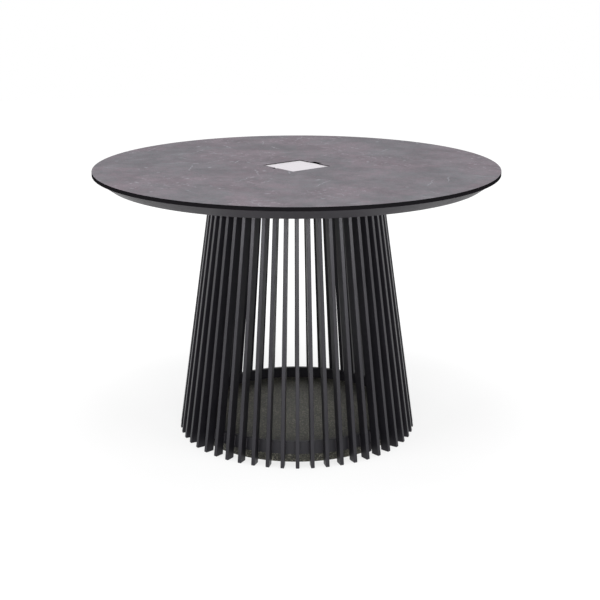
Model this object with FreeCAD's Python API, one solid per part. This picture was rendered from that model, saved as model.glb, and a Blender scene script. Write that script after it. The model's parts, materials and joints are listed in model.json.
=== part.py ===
import FreeCAD, Part
import math
import os

# Round garden table on a cage of canted slats, with a square cover over the opening for a parasol pole.
# Millimetres. The origin is on the floor under the middle of the table, +Z is up, and the sides of the
# square cover lie along X and Y.

# Table board
TABLE_HEIGHT = 745.0
BOARD_RADIUS = 550.0
BOARD_THICKNESS = 10.0
BOARD_ARRIS = 0.8

# Square cover and the hole that it lies in
COVER_SIDE = 128.0
COVER_THICKNESS = 2.5
COVER_RECESS = 1.5
COVER_ARRIS = 0.4
COVER_GAP = 0.5
NOTCH_WIDTH = 32.0
NOTCH_DEPTH = 9.0
NOTCH_CORNER = 3.5
SLOT_WIDTH = 11.0
SLOT_DEPTH = 5.0
SLOT_OFFSET = -8.5
SLOT_CORNER = 1.5

# Frame under the hole that carries the cover
SEAT_LEDGE = 10.5
SEAT_FLANGE = 24.5
SEAT_GAP = 0.3
PAD_RADIUS = 4.0
PAD_THICKNESS = 1.0

# Sheet-metal apron: a flat flange under the board and a cone that runs inwards from the board's edge
SHEET = 2.5
APRON_INSET = 4.0
APRON_DROP = 26.4
APRON_RUN = 37.0
APRON_FLANGE = 106.0
SCREWS_BETWEEN_ARMS = 2

# Frame of rectangular tubes
ARM_COUNT = 4
ARM_WIDTH = 40.0
ARM_HEIGHT = 20.0
ARM_WALL = 2.0
ARM_END_GAP = 4.0
SPACER_RADIUS = 10.0
CAP_THICKNESS = 2.0
CAP_PLUG = 12.0
CAP_GAP = 0.2
HUB_GAP = 1.0

# Cage of slats, leaning inwards from the floor
SLAT_COUNT = 52
SLATS_PER_NODE = 4
SLAT_WIDTH = 10.0
SLAT_DEPTH = 25.0
SLAT_ARRIS = 0.8
SLAT_FOOT_RADIUS = 334.0
SLAT_LEAN = 8.15
SLAT_PHASE = 2.5
GLIDE_THICKNESS = 2.0
GLIDE_INSET = 0.5
TOP_RING_THICKNESS = 8.0
TOP_RING_MARGIN = 3.0
CAGE_BOLT_INSET = 18.0

# Band inside the slats near the floor
RING_LOW = 29.0
RING_HEIGHT = 34.0
RING_THICKNESS = 10.0
RING_GAP = 0.2
RING_JOINT_ANGLE = 145.6
RING_JOINT_WIDTH = 1.2
RING_JOINT_DEPTH = 0.6

# Ballast stone, which stands up a little inside the band, and the clips that hang it from there
STONE_RISE = 2.0
STONE_BAND_GAP = 0.4
STONE_ARRIS = 1.5
CLIP_COUNT = 4
CLIP_WIDTH = 10.0
CLIP_THICKNESS = 2.0
CLIP_STONE_GAP = 2.0
CLIP_LAP = 18.0
CLIP_FLOOR_GAP = 0.4

# Guide for the parasol pole
SLEEVE_BORE = 60.0
SLEEVE_WALL = 3.0
SLEEVE_LENGTH = 100.0
SLEEVE_PLATE_THICKNESS = 5.0
SLEEVE_PLATE_WIDTH = 90.0
SLEEVE_PLATE_MARGIN = 12.0
SLEEVE_BOLT_SPACING = 60.0
SLEEVE_FIT = 0.05

# Fasteners
SMALL_SHANK = 3.0
SMALL_ACROSS_FLATS = 10.0
SMALL_HEAD_HEIGHT = 4.0
LARGE_SHANK = 4.0
LARGE_ACROSS_FLATS = 13.0
LARGE_HEAD_HEIGHT = 5.3
LARGE_NUT_HEIGHT = 6.5
LARGE_WASHER_RADIUS = 8.0
WASHER_THICKNESS = 1.6
HOLE_CLEARANCE = 0.3
THREAD_CLEARANCE = 0.05
THREAD_BEYOND_NUT = 1.5
INSERT_RADIUS = 4.5
INSERT_LENGTH = 7.0
INSERT_END_GAP = 1.0
SEAT_SCREW_RADIUS = 2.0
SEAT_SCREW_LENGTH = 9.0
SEAT_SCREW_HEAD_RADIUS = 4.0
SEAT_SCREW_HEAD_HEIGHT = 1.8

# Small round pieces and their holes are drawn with this many flat sides
ROD_SIDES = 6

# Lengths closer than this count as the same
SAME = 0.001

# Heights and radii that follow from the sizes above
LEAN = math.radians(SLAT_LEAN)
BOARD_LOW = TABLE_HEIGHT - BOARD_THICKNESS
ARM_TOP = BOARD_LOW - SHEET
ARM_LOW = ARM_TOP - ARM_HEIGHT
TOP_RING_LOW = ARM_LOW - TOP_RING_THICKNESS
COVER_TOP = TABLE_HEIGHT - COVER_RECESS
COVER_LOW = COVER_TOP - COVER_THICKNESS
SEAT_TOP = COVER_LOW - PAD_THICKNESS
COVER_HALF = COVER_SIDE / 2
HOLE_HALF = COVER_HALF + COVER_GAP
SEAT_INNER_HALF = COVER_HALF - SEAT_LEDGE
SEAT_OUTER_HALF = HOLE_HALF + SEAT_FLANGE
HUB_INNER = SEAT_OUTER_HALF + HUB_GAP
HUB_OUTER = HUB_INNER + ARM_WIDTH
APRON_TOP_RADIUS = BOARD_RADIUS - APRON_INSET
APRON_LOW_RADIUS = APRON_TOP_RADIUS - APRON_RUN
APRON_LOW = BOARD_LOW - APRON_DROP
APRON_ANGLE = math.atan2(APRON_DROP, APRON_RUN)
APRON_WALL_ACROSS = SHEET / math.sin(APRON_ANGLE)
FLANGE_INNER_RADIUS = APRON_TOP_RADIUS - APRON_FLANGE
SLEEVE_RADIUS = SLEEVE_BORE / 2
STONE_LOW = CLIP_FLOOR_GAP + CLIP_THICKNESS
STONE_TOP = RING_LOW + STONE_RISE
RING_ACROSS = RING_THICKNESS / math.cos(LEAN)
INSERT_HOLE_DEPTH = INSERT_LENGTH + INSERT_END_GAP
Z_AXIS = FreeCAD.Vector(0, 0, 1)
ORIGIN = FreeCAD.Vector(0, 0, 0)


def slat_outer(z):
    """Radius of the slats' outer edge at height z."""
    return SLAT_FOOT_RADIUS - z * math.tan(LEAN)


def slat_inner(z):
    """Radius of the slats' inner edge at height z."""
    return slat_outer(z) - SLAT_DEPTH / math.cos(LEAN)


def band_outer(z):
    """Radius of the base band's outer face at height z."""
    return slat_inner(z) - RING_GAP


def apron_inner(z):
    """Radius of the apron's inner face at height z."""
    up = (z - APRON_LOW) / APRON_DROP
    return APRON_LOW_RADIUS + up * APRON_RUN - APRON_WALL_ACROSS


ARM_END = apron_inner(ARM_LOW) - ARM_END_GAP - CAP_THICKNESS
STONE_RADIUS = band_outer(STONE_TOP) - RING_ACROSS - STONE_BAND_GAP
CLIP_OUTER = STONE_RADIUS + CLIP_STONE_GAP + CLIP_THICKNESS
TOP_RING_OUTER = slat_outer(TOP_RING_LOW) + TOP_RING_MARGIN
CAGE_BOLT_RADIUS = slat_inner(TOP_RING_LOW) - CAGE_BOLT_INSET
TOP_RING_INNER = CAGE_BOLT_RADIUS - CAGE_BOLT_INSET
FLANGE_SCREW_RADIUS = (FLANGE_INNER_RADIUS + ARM_END) / 2
INNER_SCREW_RADIUS = (TOP_RING_OUTER + FLANGE_INNER_RADIUS) / 2
SEAT_SCREW_LINE = (HOLE_HALF + SEAT_OUTER_HALF) / 2
SLEEVE_BOLT_DISTANCE = (HUB_INNER + HUB_OUTER) / 2
SLEEVE_PLATE_END = SLEEVE_BOLT_DISTANCE + SLEEVE_PLATE_MARGIN


def turned(shape, degrees):
    """A copy of the shape, turned about the table's axis."""
    copy = shape.copy()
    copy.rotate(ORIGIN, Z_AXIS, degrees)
    return copy


def moved(shape, x, y, z=0.0):
    """A copy of the shape, moved."""
    copy = shape.copy()
    copy.translate(FreeCAD.Vector(x, y, z))
    return copy


def cylinder(radius, low, high):
    """Upright cylinder on the axis."""
    return Part.makeCylinder(radius, high - low, FreeCAD.Vector(0, 0, low))


def tube(radius, hole, low, high):
    """Upright tube or flat ring on the axis."""
    return cylinder(radius, low, high).cut(cylinder(hole, low, high))


def bar(start, end, width, low, high):
    """Level bar of rectangular section, along +X."""
    return Part.makeBox(end - start, width, high - low, FreeCAD.Vector(start, -width / 2, low))


def square_prism(half, low, high):
    """Square block about the axis, with its sides along X and Y."""
    corner = FreeCAD.Vector(-half, -half, low)
    return Part.makeBox(2 * half, 2 * half, high - low, corner)


def regular_outline(sides, apothem, height, first_corner=0.0):
    """Level outline with equal sides about the axis; apothem is from the middle to a side."""
    radius = apothem / math.cos(math.pi / sides)
    angles = [math.radians(first_corner + 360.0 * k / sides) for k in range(sides + 1)]
    return Part.makePolygon([FreeCAD.Vector(radius * math.cos(a), radius * math.sin(a), height)
                             for a in angles])


def regular_prism(sides, apothem, low, high, first_corner=0.0):
    outline = regular_outline(sides, apothem, low, first_corner)
    return Part.Face(outline).extrude(FreeCAD.Vector(0, 0, high - low))


def rod(radius, low, high):
    """Small round piece or hole on the axis."""
    return regular_prism(ROD_SIDES, radius, low, high)


def collar(radius, hole, low, high):
    """Washer or threaded insert on the axis."""
    return rod(radius, low, high).cut(rod(hole, low, high))


def leaning_prism(section, low, high):
    """Prism from a level outline of (x, y) points, run up at the slats' lean."""
    points = [FreeCAD.Vector(x, y, low) for x, y in section]
    run = FreeCAD.Vector((low - high) * math.tan(LEAN), 0, high - low)
    return Part.Face(Part.makePolygon(points + points[:1])).extrude(run)


def revolved(section):
    """Full turn of a closed outline of (radius, height) points."""
    points = [FreeCAD.Vector(radius, 0, height) for radius, height in section]
    return Part.Face(Part.makePolygon(points + points[:1])).revolve(ORIGIN, Z_AXIS, 360)


def upper_rim(disc):
    """The round edge at the top of a disc."""
    top = disc.BoundBox.ZMax - SAME
    return [edge for edge in disc.Edges if len(edge.Vertexes) == 1 and edge.Vertexes[0].Z > top]


def arm_angles():
    return [360.0 * k / ARM_COUNT for k in range(ARM_COUNT)]


def between_arm_angles():
    step = 360.0 / ARM_COUNT / (SCREWS_BETWEEN_ARMS + 1)
    return [angle + step * k for angle in arm_angles() for k in range(1, SCREWS_BETWEEN_ARMS + 1)]


def at_radius(shape, radius, angles):
    """Copies of a shape on the axis, set out on a circle."""
    return [turned(moved(shape, radius, 0), angle) for angle in angles]


def notch_tool(width, depth, corner, offset, side, low, high):
    """Cutter for a notch in the hole's edge at +Y (side 1) or -Y (side -1), with round far corners."""
    far = HOLE_HALF + depth
    block = Part.makeBox(width, far, high - low, FreeCAD.Vector(offset - width / 2, 0, low))
    corners = [edge for edge in block.Edges
               if all(abs(vertex.Y - far) < SAME for vertex in edge.Vertexes)
               and abs(edge.Vertexes[0].X - edge.Vertexes[1].X) < SAME]
    block = block.makeFillet(corner, corners)
    if side < 0:
        block = block.mirror(ORIGIN, FreeCAD.Vector(0, 1, 0))
    return block


def finger_notch(low, high):
    return notch_tool(NOTCH_WIDTH, NOTCH_DEPTH, NOTCH_CORNER, 0.0, 1, low, high)


def lever_slot(low, high):
    return notch_tool(SLOT_WIDTH, SLOT_DEPTH, SLOT_CORNER, SLOT_OFFSET, -1, low, high)


def board_screw_places():
    """Radius and angles of each circle of screws that hold the board."""
    return [(INNER_SCREW_RADIUS, arm_angles()),
            (FLANGE_SCREW_RADIUS, arm_angles()),
            (FLANGE_SCREW_RADIUS, between_arm_angles())]


def on_board_screws(shape, places):
    return [copy for radius, angles in places for copy in at_radius(shape, radius, angles)]


def on_seat_screws(shape):
    """Copies of a shape in the four corners of the seat's flange."""
    places = (-SEAT_SCREW_LINE, SEAT_SCREW_LINE)
    return [moved(shape, x, y) for x in places for y in places]


def on_sleeve_bolts(shape):
    """Copies of a shape at the four bolts of the sleeve plate, two under each of two hub tubes."""
    far, step = SLEEVE_BOLT_DISTANCE, SLEEVE_BOLT_SPACING / 2
    return [moved(shape, x, y) for x in (-far, far) for y in (-step, step)]


def seat_screw():
    """Screw that bears under the seat's flange and reaches up into the board."""
    head = rod(SEAT_SCREW_HEAD_RADIUS, ARM_TOP - SEAT_SCREW_HEAD_HEIGHT, ARM_TOP)
    shank = rod(SEAT_SCREW_RADIUS, ARM_TOP - SEAT_SCREW_HEAD_HEIGHT, ARM_TOP + SEAT_SCREW_LENGTH)
    return head.fuse(shank).removeSplitter()


def table_board():
    board = cylinder(BOARD_RADIUS, BOARD_LOW, TABLE_HEIGHT)
    board = board.makeChamfer(BOARD_ARRIS, upper_rim(board))
    hole = square_prism(HOLE_HALF, BOARD_LOW, TABLE_HEIGHT)
    insert_hole = rod(INSERT_RADIUS + THREAD_CLEARANCE, BOARD_LOW, BOARD_LOW + INSERT_HOLE_DEPTH)
    pilot_hole = rod(SEAT_SCREW_RADIUS + THREAD_CLEARANCE, BOARD_LOW,
                     ARM_TOP + SEAT_SCREW_LENGTH + THREAD_CLEARANCE)
    cutters = [hole, finger_notch(BOARD_LOW, TABLE_HEIGHT), lever_slot(BOARD_LOW, TABLE_HEIGHT)]
    cutters += on_board_screws(insert_hole, board_screw_places())
    cutters += on_seat_screws(pilot_hole)
    return [board.cut(cutters)]


def cover_plate():
    plate = square_prism(COVER_HALF, COVER_LOW, COVER_TOP)
    upper = [edge for edge in plate.Edges if all(abs(v.Z - COVER_TOP) < SAME for v in edge.Vertexes)]
    return [plate.makeChamfer(COVER_ARRIS, upper)]


def cover_seat():
    """Frame with a flange under the board and a ledge that stands up inside the hole."""
    flange = square_prism(SEAT_OUTER_HALF, ARM_TOP, BOARD_LOW)
    ledge = square_prism(HOLE_HALF - SEAT_GAP, ARM_TOP, SEAT_TOP)
    opening = square_prism(SEAT_INNER_HALF, ARM_TOP, SEAT_TOP)
    screw_hole = rod(SEAT_SCREW_RADIUS + HOLE_CLEARANCE, ARM_TOP, BOARD_LOW)
    cutters = [opening, finger_notch(BOARD_LOW, SEAT_TOP), lever_slot(BOARD_LOW, SEAT_TOP)]
    cutters += on_seat_screws(screw_hole)
    return [flange.fuse(ledge).removeSplitter().cut(cutters)]


def seat_pads():
    place = (SEAT_INNER_HALF + HOLE_HALF - SEAT_GAP) / 2
    pad = rod(PAD_RADIUS, SEAT_TOP, COVER_LOW)
    return [moved(pad, x, y) for x in (-place, place) for y in (-place, place)]


def seat_screws():
    return on_seat_screws(seat_screw())


def apron_flange():
    """Flat ring under the board, its rim bevelled to meet the inside of the cone."""
    section = [(FLANGE_INNER_RADIUS, BOARD_LOW), (apron_inner(BOARD_LOW), BOARD_LOW),
               (apron_inner(ARM_TOP), ARM_TOP), (FLANGE_INNER_RADIUS, ARM_TOP)]
    hole = rod(SMALL_SHANK + HOLE_CLEARANCE, ARM_TOP, BOARD_LOW)
    return [revolved(section).cut(on_board_screws(hole, board_screw_places()[1:]))]


def apron_ring():
    """Cone that runs inwards and down from the board's edge."""
    return [revolved([(APRON_TOP_RADIUS, BOARD_LOW), (APRON_LOW_RADIUS, APRON_LOW),
                      (apron_inner(APRON_LOW), APRON_LOW), (apron_inner(BOARD_LOW), BOARD_LOW)])]


def arm():
    """One tube of the frame, along +X, with holes for the board's screws and the cage's bolt."""
    outside = bar(HUB_OUTER, ARM_END, ARM_WIDTH, ARM_LOW, ARM_TOP)
    inside = bar(HUB_OUTER, ARM_END, ARM_WIDTH - 2 * ARM_WALL, ARM_LOW + ARM_WALL, ARM_TOP - ARM_WALL)
    small_hole = rod(SMALL_SHANK + HOLE_CLEARANCE, ARM_LOW, ARM_TOP)
    large_hole = rod(LARGE_SHANK + HOLE_CLEARANCE, ARM_LOW, ARM_LOW + ARM_WALL)
    cutters = [inside, moved(large_hole, CAGE_BOLT_RADIUS, 0)]
    cutters += [moved(small_hole, radius, 0) for radius in (INNER_SCREW_RADIUS, FLANGE_SCREW_RADIUS)]
    return outside.cut(cutters)


def arm_end_caps():
    """Plug in each arm's outer end: a face as large as the tube and a shank inside it."""
    margin = ARM_WALL + CAP_GAP
    face = bar(ARM_END, ARM_END + CAP_THICKNESS, ARM_WIDTH, ARM_LOW, ARM_TOP)
    plug = bar(ARM_END - CAP_PLUG, ARM_END, ARM_WIDTH - 2 * margin, ARM_LOW + margin, ARM_TOP - margin)
    return [turned(face.fuse(plug), angle) for angle in arm_angles()]


def arm_spacers():
    """Washers as thick as the sheet, between the arms and the board at the inner screws."""
    spacer = collar(SPACER_RADIUS, SMALL_SHANK + HOLE_CLEARANCE, ARM_TOP, BOARD_LOW)
    return at_radius(spacer, INNER_SCREW_RADIUS, arm_angles())


def hub_tubes():
    """Mitred tubes round the middle, one across the inner end of each arm."""
    corner = 180.0 / ARM_COUNT
    outside = regular_prism(ARM_COUNT, HUB_OUTER, ARM_LOW, ARM_TOP, corner)
    middle = regular_prism(ARM_COUNT, HUB_INNER, ARM_LOW, ARM_TOP, corner)
    cavity = regular_prism(ARM_COUNT, HUB_OUTER - ARM_WALL, ARM_LOW + ARM_WALL, ARM_TOP - ARM_WALL, corner)
    core = regular_prism(ARM_COUNT, HUB_INNER + ARM_WALL, ARM_LOW + ARM_WALL, ARM_TOP - ARM_WALL, corner)
    ring = outside.cut(middle).cut(cavity.cut(core))
    reach = 2 * HUB_OUTER
    half_width = reach * math.tan(math.radians(corner))
    corners = [(0, 0), (reach, -half_width), (reach, half_width), (0, 0)]
    outline = Part.makePolygon([FreeCAD.Vector(x, y, ARM_LOW) for x, y in corners])
    wedge = Part.Face(outline).extrude(Z_AXIS * ARM_HEIGHT)
    hole = rod(LARGE_SHANK + HOLE_CLEARANCE, ARM_LOW, ARM_LOW + ARM_WALL)
    holes = on_sleeve_bolts(hole)
    return [ring.common(turned(wedge, angle)).cut(holes).Solids[0] for angle in arm_angles()]


def board_inserts():
    insert = collar(INSERT_RADIUS, SMALL_SHANK + THREAD_CLEARANCE, BOARD_LOW, BOARD_LOW + INSERT_LENGTH)
    return on_board_screws(insert, board_screw_places())


def small_screw(seat):
    """Hexagon screw whose head bears at the height given and whose shank reaches up into an insert."""
    head = regular_prism(6, SMALL_ACROSS_FLATS / 2, seat - SMALL_HEAD_HEIGHT, seat)
    shank = rod(SMALL_SHANK, seat - SMALL_HEAD_HEIGHT, BOARD_LOW + INSERT_LENGTH)
    return head.fuse(shank).removeSplitter()


def board_screws():
    return on_board_screws(small_screw(ARM_LOW), board_screw_places()[:2])


def apron_screws():
    return on_board_screws(small_screw(ARM_TOP), board_screw_places()[2:])


def large_bolt(seat):
    """Hexagon bolt whose head bears at the height given and whose shank reaches through a nut in a tube."""
    head = regular_prism(6, LARGE_ACROSS_FLATS / 2, seat - LARGE_HEAD_HEIGHT, seat)
    tip = ARM_LOW + ARM_WALL + LARGE_NUT_HEIGHT + THREAD_BEYOND_NUT
    shank = rod(LARGE_SHANK, seat - LARGE_HEAD_HEIGHT, tip)
    return head.fuse(shank).removeSplitter()


def large_nut():
    low = ARM_LOW + ARM_WALL
    nut = regular_prism(6, LARGE_ACROSS_FLATS / 2, low, low + LARGE_NUT_HEIGHT)
    return nut.cut(rod(LARGE_SHANK + THREAD_CLEARANCE, low, low + LARGE_NUT_HEIGHT))


def large_washer(top):
    return collar(LARGE_WASHER_RADIUS, LARGE_SHANK + HOLE_CLEARANCE, top - WASHER_THICKNESS, top)


def cage_top_ring():
    ring = tube(TOP_RING_OUTER, TOP_RING_INNER, TOP_RING_LOW, ARM_LOW)
    hole = rod(LARGE_SHANK + HOLE_CLEARANCE, TOP_RING_LOW, ARM_LOW)
    return [ring.cut(at_radius(hole, CAGE_BOLT_RADIUS, arm_angles()))]


def cage_bolts():
    return at_radius(large_bolt(TOP_RING_LOW - WASHER_THICKNESS), CAGE_BOLT_RADIUS, arm_angles())


def cage_washers():
    return at_radius(large_washer(TOP_RING_LOW), CAGE_BOLT_RADIUS, arm_angles())


def cage_nuts():
    return at_radius(large_nut(), CAGE_BOLT_RADIUS, arm_angles())


def sleeve_plate():
    low = ARM_LOW - SLEEVE_PLATE_THICKNESS
    plate = bar(-SLEEVE_PLATE_END, SLEEVE_PLATE_END, SLEEVE_PLATE_WIDTH, low, ARM_LOW)
    tube_hole = cylinder(SLEEVE_RADIUS + SLEEVE_WALL + SLEEVE_FIT, low, ARM_LOW)
    bolt_hole = rod(LARGE_SHANK + HOLE_CLEARANCE, low, ARM_LOW)
    return [plate.cut([tube_hole] + on_sleeve_bolts(bolt_hole))]


def sleeve_tube():
    return [tube(SLEEVE_RADIUS + SLEEVE_WALL, SLEEVE_RADIUS, ARM_LOW - SLEEVE_LENGTH, ARM_LOW)]


def sleeve_bolts():
    return on_sleeve_bolts(large_bolt(ARM_LOW - SLEEVE_PLATE_THICKNESS - WASHER_THICKNESS))


def sleeve_washers():
    return on_sleeve_bolts(large_washer(ARM_LOW - SLEEVE_PLATE_THICKNESS))


def sleeve_nuts():
    return on_sleeve_bolts(large_nut())


def slat():
    """One flat bar of the cage, along +X: its level section drawn at the foot and run up the lean."""
    out, back = slat_outer(GLIDE_THICKNESS), slat_inner(GLIDE_THICKNESS)
    half, cut = SLAT_WIDTH / 2, SLAT_ARRIS
    section = [(out, half - cut), (out - cut, half), (back + cut, half), (back, half - cut),
               (back, cut - half), (back + cut, -half), (out - cut, -half), (out, cut - half)]
    return leaning_prism(section, GLIDE_THICKNESS, TOP_RING_LOW)


def slat_angle(number):
    return SLAT_PHASE + 360.0 * number / SLAT_COUNT


def slat_nodes():
    """Neighbouring slats, a few to a node."""
    one = slat()
    nodes = {}
    for first in range(0, SLAT_COUNT, SLATS_PER_NODE):
        numbers = range(first, min(first + SLATS_PER_NODE, SLAT_COUNT))
        name = "slats_%02d" % (first // SLATS_PER_NODE + 1)
        nodes[name] = [turned(one, slat_angle(number)) for number in numbers]
    return nodes


def slat_glides():
    out = slat_outer(GLIDE_THICKNESS) - GLIDE_INSET
    length = SLAT_DEPTH / math.cos(LEAN) - 2 * GLIDE_INSET
    width = SLAT_WIDTH - 2 * GLIDE_INSET
    glide = bar(out - length, out, width, 0, GLIDE_THICKNESS)
    return [turned(glide, slat_angle(number)) for number in range(SLAT_COUNT)]


def base_ring():
    """Band rolled to the slats' lean, with the groove of its butt joint on the inside."""
    top = RING_LOW + RING_HEIGHT
    low_out, top_out = band_outer(RING_LOW), band_outer(top)
    band = revolved([(low_out, RING_LOW), (top_out, top), (top_out - RING_ACROSS, top),
                     (low_out - RING_ACROSS, RING_LOW)])
    inside = low_out - RING_ACROSS
    half = RING_JOINT_WIDTH / 2
    groove = leaning_prism([(inside - RING_ACROSS, -half), (inside + RING_JOINT_DEPTH, -half),
                            (inside + RING_JOINT_DEPTH, half), (inside - RING_ACROSS, half)], RING_LOW, top)
    return [band.cut(turned(groove, RING_JOINT_ANGLE))]


def ballast_stone():
    stone = cylinder(STONE_RADIUS, STONE_LOW, STONE_TOP)
    return [stone.makeChamfer(STONE_ARRIS, upper_rim(stone))]


def stone_clips():
    """Strips bent in an L: a leg that hangs from the band, clear of the stone, and a foot under it."""
    leg = bar(CLIP_OUTER - CLIP_THICKNESS, CLIP_OUTER, CLIP_WIDTH, CLIP_FLOOR_GAP, RING_LOW)
    foot = bar(STONE_RADIUS - CLIP_LAP, CLIP_OUTER, CLIP_WIDTH, CLIP_FLOOR_GAP, STONE_LOW)
    clip = leg.fuse(foot).removeSplitter()
    return [turned(clip, slat_angle(SLAT_COUNT * k // CLIP_COUNT)) for k in range(CLIP_COUNT)]


def all_nodes():
    makers = [table_board, cover_plate, cover_seat, seat_pads, seat_screws, apron_ring, apron_flange,
              apron_screws, arm_end_caps, arm_spacers, hub_tubes, board_inserts, board_screws,
              cage_top_ring, cage_bolts, cage_washers, cage_nuts, sleeve_plate, sleeve_tube,
              sleeve_bolts, sleeve_washers, sleeve_nuts, slat_glides, base_ring, ballast_stone, stone_clips]
    nodes = {maker.__name__: maker() for maker in makers}
    for number, angle in enumerate(arm_angles(), 1):
        nodes["arm_%d" % number] = [turned(arm(), angle)]
    nodes.update(slat_nodes())
    return nodes


def main():
    os.makedirs("parts", exist_ok=True)
    for name, solids in all_nodes().items():
        shape = solids[0] if len(solids) == 1 else Part.makeCompound(solids)
        shape.exportStep("parts/%s.step" % name)
        print("%-16s %3d solids %10.1f cm3 valid %s" % (name, len(shape.Solids), shape.Volume / 1000,
                                                        shape.isValid()))


if __name__ == "__main__":
    main()
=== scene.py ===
"""Looks of a round garden table on a cage of canted slats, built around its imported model."""
import json
import math

import bmesh
import bpy
from bpy.props import FloatProperty, FloatVectorProperty, IntProperty, PointerProperty
from mathutils import Matrix, Vector


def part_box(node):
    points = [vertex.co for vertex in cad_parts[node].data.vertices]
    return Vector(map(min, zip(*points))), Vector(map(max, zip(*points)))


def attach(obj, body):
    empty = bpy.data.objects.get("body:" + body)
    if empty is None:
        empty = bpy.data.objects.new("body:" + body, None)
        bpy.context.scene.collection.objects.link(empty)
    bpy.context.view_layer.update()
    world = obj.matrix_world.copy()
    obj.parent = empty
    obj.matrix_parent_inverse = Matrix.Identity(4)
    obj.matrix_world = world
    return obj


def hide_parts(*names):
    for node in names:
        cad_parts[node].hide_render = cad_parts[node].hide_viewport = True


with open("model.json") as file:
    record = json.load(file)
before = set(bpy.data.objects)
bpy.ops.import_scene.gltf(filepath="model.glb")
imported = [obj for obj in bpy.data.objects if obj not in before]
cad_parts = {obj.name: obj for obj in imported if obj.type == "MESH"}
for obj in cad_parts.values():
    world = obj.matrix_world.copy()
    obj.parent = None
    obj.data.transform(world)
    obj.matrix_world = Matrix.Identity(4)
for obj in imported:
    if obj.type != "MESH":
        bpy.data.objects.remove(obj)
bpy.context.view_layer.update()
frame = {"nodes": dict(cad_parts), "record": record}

bl_info = {
    "name": "Umbrella Table",
    "version": (1, 0, 0),
    "blender": (4, 5, 0),
    "location": "View3D > Sidebar > Umbrella Table",
    "description": "Finishes, fine pieces and studio of a round garden table on a slatted cage",
    "category": "Object",
}

TABLE, COVER = "table", "cover"
BOARD_LOW, BOARD_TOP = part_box("table_board")[0].z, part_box("table_board")[1].z
MM = 0.001
MERGE = 0.00001  # points nearer to each other than this are one
SKIN = 0.1 * MM  # a point this near to a face belongs to it
RIM_COSINE = 0.7  # cosine of the turn beyond which two faces meet in a rim
SHARP_ANGLE = math.radians(50)  # edges turned by more than this are shaded sharp
FLAT_ANGLE = math.radians(0.3)  # faces turned by less than this become one
BEAD_SIDES, BEAD_END, BEAD_RIPPLE = 8, 0.6, (1.0, 0.86)  # sides, ends and rings of a weld bead
STRIPS = (("Far left strip", -112, 0.42), ("Left strip", -58, 1.1), ("Front strip", 0, 1.0),
          ("Right strip", 58, 1.0), ("Far right strip", 112, 0.42))  # degrees from the camera, share of power
STRIP_SIZE, STRIP_ELEVATION, STRIP_DISTANCE = (2.6, 0.6), math.radians(13), 3.4
STRIP_AIM = (0.0, 0.0, 0.45)
TOP_SIZE, TOP_ELEVATION, TOP_DISTANCE = (2.2, 2.2), math.radians(52), 2.2
SENSOR_WIDTH = 36.0
FLOOR_SIDES = 64
FLOOR_GREY = 0.6  # colour with which the floor throws light back at the table
SHADOW_DEPTH = 0.7  # how strongly light and shadow show on the floor
SHADOW_START, SHADOW_END = 0.5, 1.3  # distances from the axis between which they fade out to white
VECTOR, FLOAT = "NodeSocketVector", "NodeSocketFloat"


def colour(name, default, description):
    return FloatVectorProperty(name=name, description=description, subtype="COLOR", size=3,
                               min=0.0, max=1.0, default=default)


def length(name, default, description):
    return FloatProperty(name=name, description=description, default=default, precision=5, unit="LENGTH")


def count(name, default, description):
    return IntProperty(name=name, description=description, default=default, min=12)


def angle(name, degrees, description):
    return FloatProperty(name=name, description=description, default=math.radians(degrees), subtype="ANGLE")


class FinishSettings(bpy.types.PropertyGroup):
    """Colours of the table's surfaces"""

    # The decor colours are the decor's own tones plus a painted sheen: they are lifted to stand in for the
    # board's reflection of its surroundings.
    decor_rose_and_sheen: colour("Decor, rose", (0.256, 0.212, 0.241), "Warm clouds of the board's stone decor")
    decor_blue_and_sheen: colour("Decor, blue", (0.205, 0.206, 0.223), "Cool clouds of the board's stone decor")
    decor_fleck_and_sheen: colour("Decor, flecks", (0.48, 0.50, 0.54), "Small pale flecks in the decor")
    core: colour("Core", (0.004, 0.0037, 0.0043), "Black core of the board, seen at its edges")
    backing: colour("Backing", (0.020, 0.019, 0.021), "Plain dark sheet on the board's underside")
    coat: colour("Slat coat", (0.0062, 0.0059, 0.0076), "Black powder coat of the slats and the band")
    frame_coat: colour("Frame coat", (0.030, 0.0285, 0.0315), "Anthracite coat of the apron and the frame")
    steel: colour("Stainless steel", (0.75, 0.705, 0.75), "Brushed cover plate")
    zinc: colour("Zinc", (0.55, 0.56, 0.58), "Plated screws, bolts and washers")
    brass: colour("Brass", (0.62, 0.45, 0.20), "Threaded inserts")
    stone_dark: colour("Granite, dark", (0.006, 0.006, 0.005), "Dark grains of the ballast stone")
    stone_mid: colour("Granite, middle", (0.036, 0.035, 0.027), "Olive grains of the ballast stone")
    stone_pale: colour("Granite, pale", (0.115, 0.110, 0.088), "Pale grains of the ballast stone")
    plastic: colour("Plastic", (0.022, 0.022, 0.024), "Glides, end caps and pads")


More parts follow.
